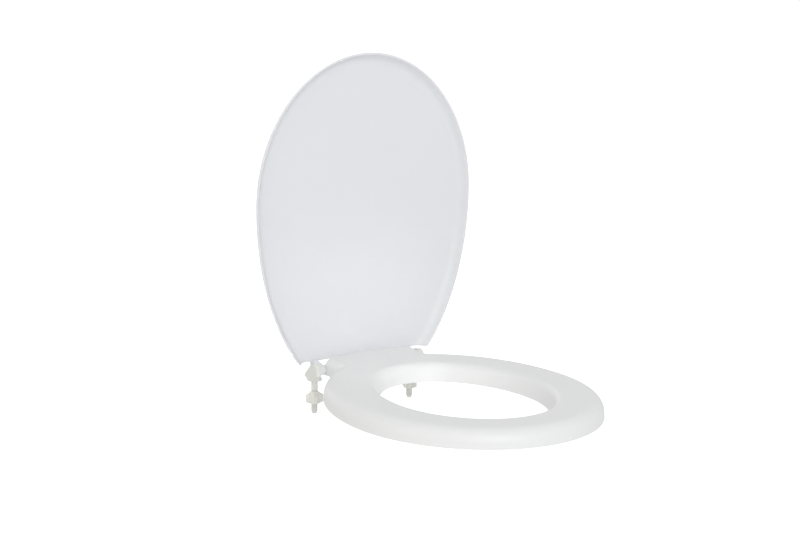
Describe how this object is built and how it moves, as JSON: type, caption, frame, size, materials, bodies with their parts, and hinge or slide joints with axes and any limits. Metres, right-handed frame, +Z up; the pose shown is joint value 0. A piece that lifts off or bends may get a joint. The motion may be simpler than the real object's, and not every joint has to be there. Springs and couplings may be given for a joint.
{
  "type": "toilet seat",
  "caption": "White moulded toilet seat: an egg-shaped ring and a dished lid, raised, on hinge posts whose bolts and wing nuts clamp it to a bowl.",
  "frame": {"origin": "midway between the two bolts, on the plane where the hinge posts and the bumpers rest on the bowl", "axes": "+X to the right seen from the front, +Y to the back of the bowl, +Z up; the lid stands raised at rest"},
  "size_m": [0.355, 0.4567, 0.506],
  "materials": {
    "seat_plastic": "smooth glossy moulding",
    "lid_plastic": "smooth glossy moulding",
    "hinge_plastic": "satin moulding",
    "soft_pad": "soft matte"
  },
  "bodies": {
    "hinge_posts": {"hinge_post_left": "hinge_plastic", "hinge_post_right": "hinge_plastic", "hinge_pin_left": "hinge_plastic", "hinge_pin_right": "hinge_plastic", "wing_nut_left": "hinge_plastic", "wing_nut_right": "hinge_plastic"},
    "ring": {"seat_ring": "seat_plastic", "bumper_front_left": "soft_pad", "bumper_front_right": "soft_pad", "bumper_rear_left": "soft_pad", "bumper_rear_right": "soft_pad"},
    "lid": {"lid": "lid_plastic"}
  },
  "joints": [
    {"name": "ring_lift", "type": "hinge", "parent": "hinge_posts", "child": "ring", "pos_m": [0, -0.012, 0.0165], "axis": [-1, 0, 0], "range_deg": [0, 90]},
    {"name": "lid_lift", "type": "hinge", "parent": "hinge_posts", "child": "lid", "pos_m": [0, -0.012, 0.0165], "axis": [-1, 0, 0], "range_deg": [-90, 0]}
  ]
}
